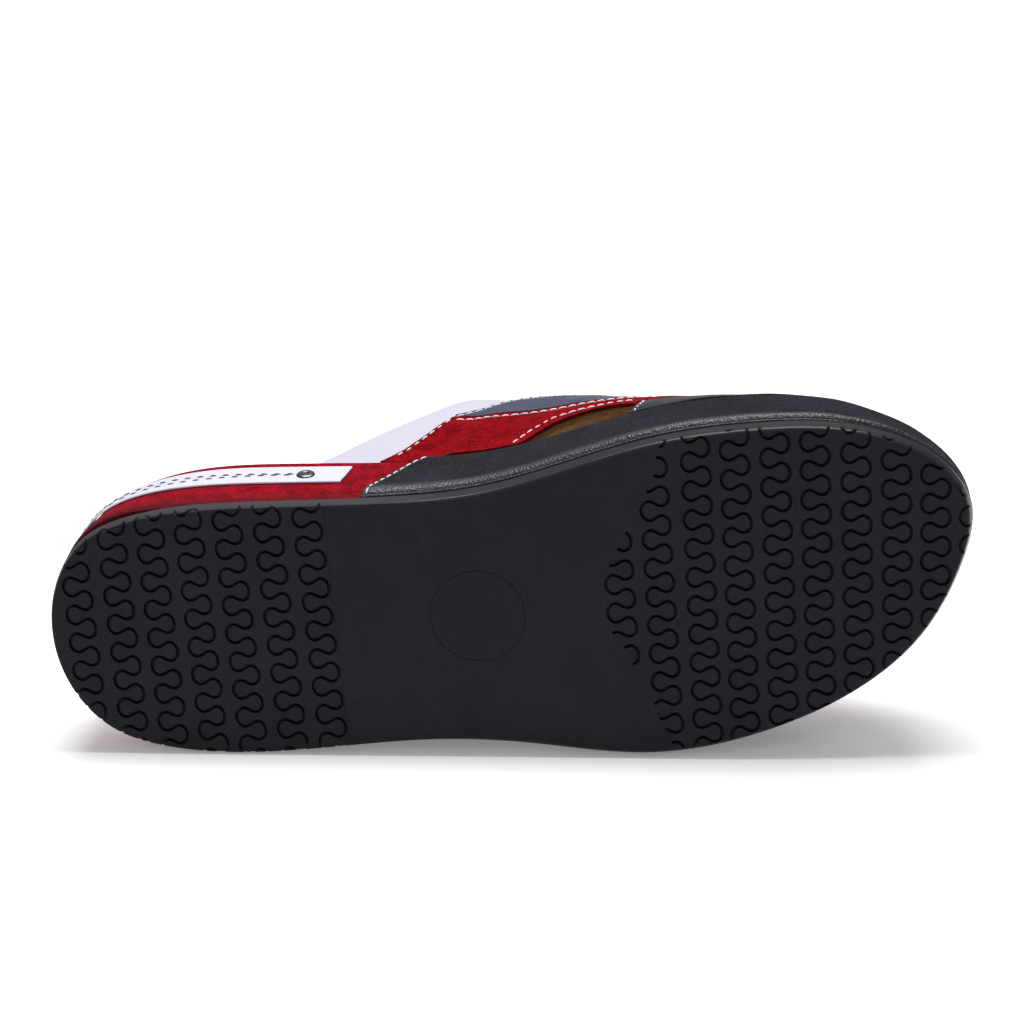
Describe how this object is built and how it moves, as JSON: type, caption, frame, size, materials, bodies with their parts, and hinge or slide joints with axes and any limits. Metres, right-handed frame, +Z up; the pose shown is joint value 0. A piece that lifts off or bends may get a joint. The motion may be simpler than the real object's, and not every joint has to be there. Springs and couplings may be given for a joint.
{
  "type": "slipper",
  "caption": "Left leather mule slipper on a wedge platform, closed at the toe and open at the heel, with low side windows and a flat rubber outsole, lying on its lateral side.",
  "frame": {"origin": "middle of the bounding box at the floor, with the shoe lying on its lateral side", "axes": "+X from the heel to the toe, -Y towards the sole's tread, +Z up, towards the medial side"},
  "size_m": [0.2846, 0.1072, 0.11],
  "materials": {
    "outsole_rubber": "black moulded rubber, matte with a glossy rounded edge",
    "platform_suede": "red suede",
    "rand_leather": "black smooth leather with a soft sheen",
    "strip_leather": "white smooth leather",
    "eyelet_metal": "gunmetal",
    "lining_leather": "tan lining leather",
    "upper_leather": "white smooth leather outside",
    "band_suede": "red suede",
    "panel_leather": "dark grey smooth leather",
    "guard_leather": "black smooth leather"
  },
  "bodies": {
    "root": {"outsole": "outsole_rubber", "midsole": "platform_suede", "rand": "rand_leather", "heel_strip": "strip_leather", "eyelet_medial": "eyelet_metal", "eyelet_lateral": "eyelet_metal", "insole": "lining_leather", "upper": "upper_leather", "side_band": "band_suede", "vamp_panel": "panel_leather", "toe_guard": "guard_leather"}
  },
  "joints": []
}
